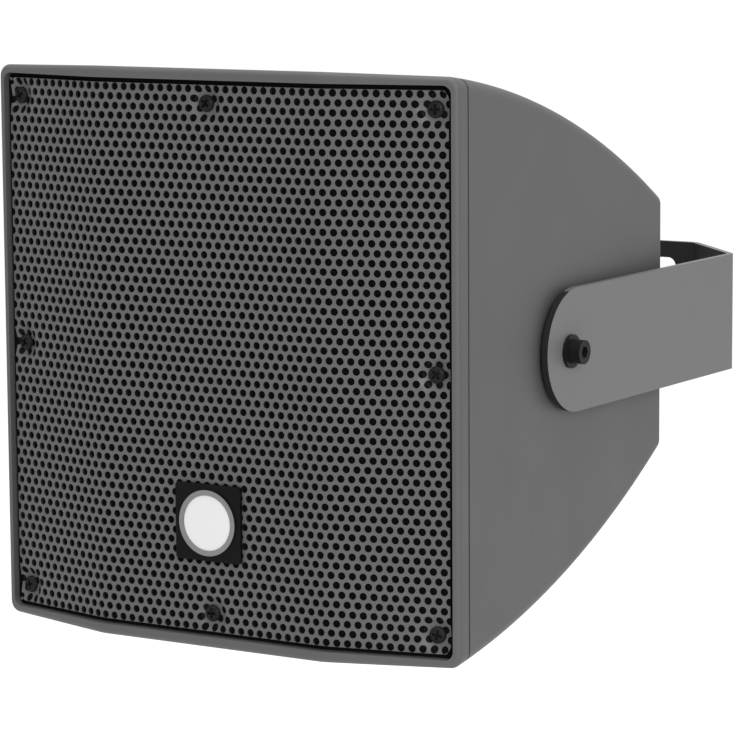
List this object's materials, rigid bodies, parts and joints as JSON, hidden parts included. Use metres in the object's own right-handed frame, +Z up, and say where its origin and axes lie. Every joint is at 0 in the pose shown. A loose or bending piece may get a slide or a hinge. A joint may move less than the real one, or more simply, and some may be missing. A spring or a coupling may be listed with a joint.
{
  "type": "installation speaker",
  "caption": "Weatherproof wall speaker: folded perforated grille with a badge plate, arched cabinet that tilts on a slotted U-bracket, cone driver, tap selector and cable gland at the back.",
  "frame": {"origin": "middle of the bracket's wall face, at the centre of its slot pattern", "axes": "+X right seen from the front, +Y into the wall with the speaker's front facing -Y, +Z up"},
  "size_m": [0.2648, 0.3186, 0.2606],
  "materials": {
    "cabinet_grey": "fine moulded texture",
    "grille_grey": "satin powder coat",
    "bracket_grey": "satin powder coat",
    "black_steel": "black zinc",
    "badge_black": "gloss",
    "badge_metal": "satin",
    "badge_pale": "plain",
    "foam_black": "open foam",
    "rubber_black": "matte",
    "basket_black": "satin",
    "cone_paper": "pressed",
    "spider_cloth": "impregnated cloth",
    "former_kraft": "plain",
    "coil_copper": "enamelled",
    "plated_steel": "zinc",
    "ferrite": "sintered",
    "panel_metal": "satin powder coat",
    "black_plastic": "satin",
    "brass_plain": "turned",
    "core_steel": "laminated",
    "nylon_pale": "plain"
  },
  "bodies": {
    "bracket": {"bracket": "bracket_grey"},
    "cabinet": {"badge_disc": "badge_pale", "badge_plate": "badge_black", "badge_ring": "badge_metal", "connection_panel": "panel_metal", "driver_basket": "basket_black", "driver_gasket": "foam_black", "driver_screws": "black_steel", "frame_screws": "plated_steel", "front_frame": "cabinet_grey", "gland_body": "black_plastic", "gland_cap": "black_plastic", "gland_nut": "black_plastic", "gland_seal": "rubber_black", "grille": "grille_grey", "grille_foam": "foam_black", "grille_screws": "black_steel", "magnet": "ferrite", "panel_gasket": "rubber_black", "panel_screws": "black_steel", "pivot_bolts": "black_steel", "pivot_inserts": "brass_plain", "pivot_spacers": "rubber_black", "pivot_washers": "black_steel", "pole_plate": "plated_steel", "rear_shell": "cabinet_grey", "seam_gasket": "rubber_black", "selector_nut": "plated_steel", "selector_switch": "black_plastic", "spider": "spider_cloth", "surround": "rubber_black", "terminal_block": "nylon_pale", "top_plate": "plated_steel", "transformer_core": "core_steel", "transformer_screws": "plated_steel", "transformer_strap": "plated_steel", "transformer_winding": "coil_copper"},
    "cone": {"cone": "cone_paper", "dust_cap": "cone_paper", "coil_former": "former_kraft", "voice_coil": "coil_copper"},
    "knob": {"selector_knob": "black_plastic", "selector_shaft": "plated_steel"}
  },
  "joints": [
    {"name": "tilt", "type": "hinge", "parent": "bracket", "child": "cabinet", "pos_m": [0, -0.208, 0], "axis": [1, 0, 0], "range_deg": [-90, 90]},
    {"name": "cone_travel", "type": "slide", "parent": "cabinet", "child": "cone", "axis": [0, 1, 0], "range_m": [-0.003, 0.003], "stiffness_N_per_m": 4800, "deforming": ["surround", "spider"]},
    {"name": "tap_selector", "type": "hinge", "parent": "cabinet", "child": "knob", "pos_m": [0.026, -0.091, 0.014], "axis": [0, 1, 0], "range_deg": [-75, 75]}
  ]
}
